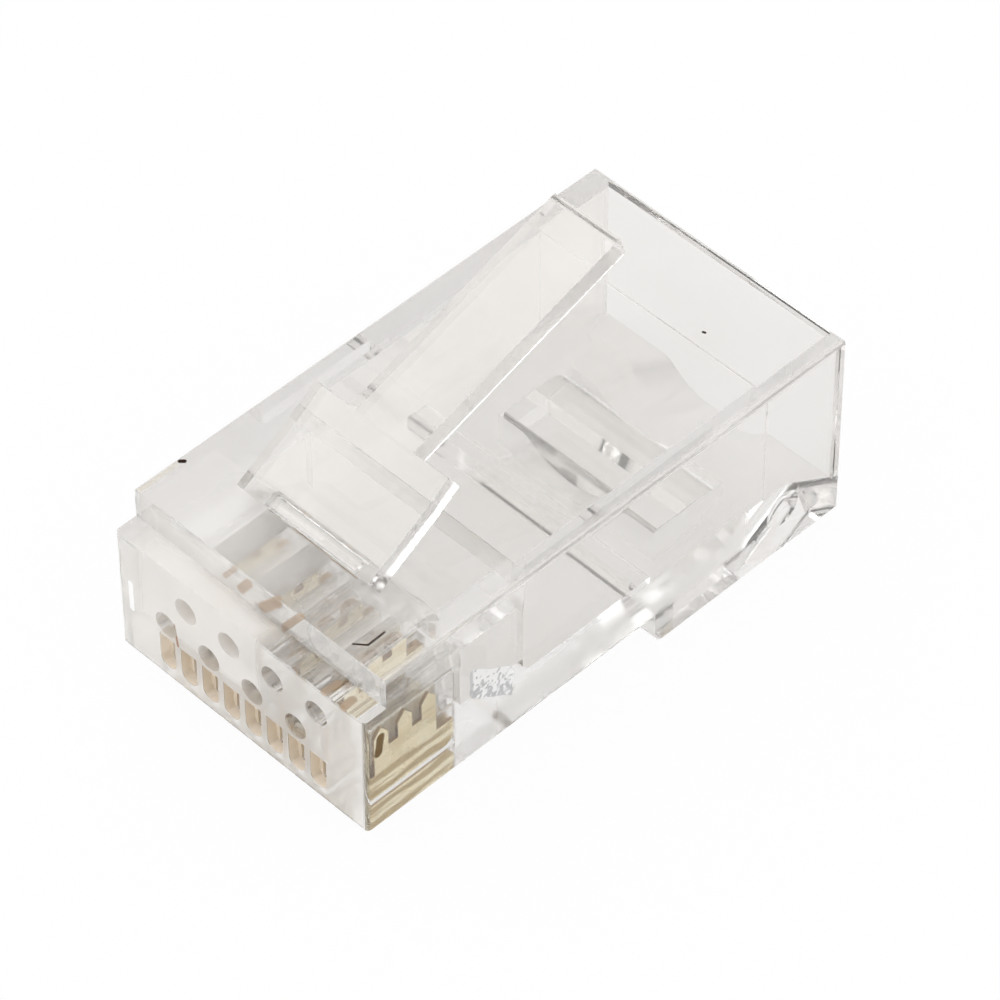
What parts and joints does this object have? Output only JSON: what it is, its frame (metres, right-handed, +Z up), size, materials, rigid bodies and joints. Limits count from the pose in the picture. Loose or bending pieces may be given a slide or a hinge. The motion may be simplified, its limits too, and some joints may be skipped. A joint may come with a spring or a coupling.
{
  "type": "rj45 modular plug",
  "caption": "Clear eight-way modular plug with gold contacts in slots, staggered pass-through wire channels, sprung latch, strain relief bar and open cable entry.",
  "frame": {"origin": "under the middle of the plug, level with the underside of its rear part", "axes": "+X across the plug, -Y out of the mating face, +Z up towards the latch"},
  "size_m": [0.0116, 0.022, 0.0141],
  "materials": {
    "clear_plastic": "gloss",
    "gold_contact": "polished"
  },
  "bodies": {
    "shell": {"housing": "clear_plastic"},
    "latch": {"latch_tab": "clear_plastic"},
    "bar": {"strain_relief_bar": "clear_plastic"},
    "pin_1": {"contact_1": "gold_contact"},
    "pin_2": {"contact_2": "gold_contact"},
    "pin_3": {"contact_3": "gold_contact"},
    "pin_4": {"contact_4": "gold_contact"},
    "pin_5": {"contact_5": "gold_contact"},
    "pin_6": {"contact_6": "gold_contact"},
    "pin_7": {"contact_7": "gold_contact"},
    "pin_8": {"contact_8": "gold_contact"}
  },
  "joints": [
    {"name": "latch_hinge", "type": "hinge", "parent": "shell", "child": "latch", "pos_m": [0, -0.00728, 0.00794], "axis": [-1, 0, 0], "range_deg": [0, 22], "stiffness_Nm_per_rad": 0.15},
    {"name": "bar_hinge", "type": "hinge", "parent": "shell", "child": "bar", "pos_m": [0, 0.00632, 0.0017], "axis": [-1, 0, 0], "range_deg": [0, 20]},
    {"name": "contact_press_1", "type": "slide", "parent": "shell", "child": "pin_1", "axis": [0, 0, 1], "range_m": [0, 0.00055]},
    {"name": "contact_press_2", "type": "slide", "parent": "shell", "child": "pin_2", "axis": [0, 0, 1], "range_m": [0, 0.00055]},
    {"name": "contact_press_3", "type": "slide", "parent": "shell", "child": "pin_3", "axis": [0, 0, 1], "range_m": [0, 0.00055]},
    {"name": "contact_press_4", "type": "slide", "parent": "shell", "child": "pin_4", "axis": [0, 0, 1], "range_m": [0, 0.00055]},
    {"name": "contact_press_5", "type": "slide", "parent": "shell", "child": "pin_5", "axis": [0, 0, 1], "range_m": [0, 0.00055]},
    {"name": "contact_press_6", "type": "slide", "parent": "shell", "child": "pin_6", "axis": [0, 0, 1], "range_m": [0, 0.00055]},
    {"name": "contact_press_7", "type": "slide", "parent": "shell", "child": "pin_7", "axis": [0, 0, 1], "range_m": [0, 0.00055]},
    {"name": "contact_press_8", "type": "slide", "parent": "shell", "child": "pin_8", "axis": [0, 0, 1], "range_m": [0, 0.00055]}
  ],
  "couplings": [
    {"joint": "contact_press_2", "follows": "contact_press_1", "ratio": 1},
    {"joint": "contact_press_3", "follows": "contact_press_1", "ratio": 1},
    {"joint": "contact_press_4", "follows": "contact_press_1", "ratio": 1},
    {"joint": "contact_press_5", "follows": "contact_press_1", "ratio": 1},
    {"joint": "contact_press_6", "follows": "contact_press_1", "ratio": 1},
    {"joint": "contact_press_7", "follows": "contact_press_1", "ratio": 1},
    {"joint": "contact_press_8", "follows": "contact_press_1", "ratio": 1}
  ]
}
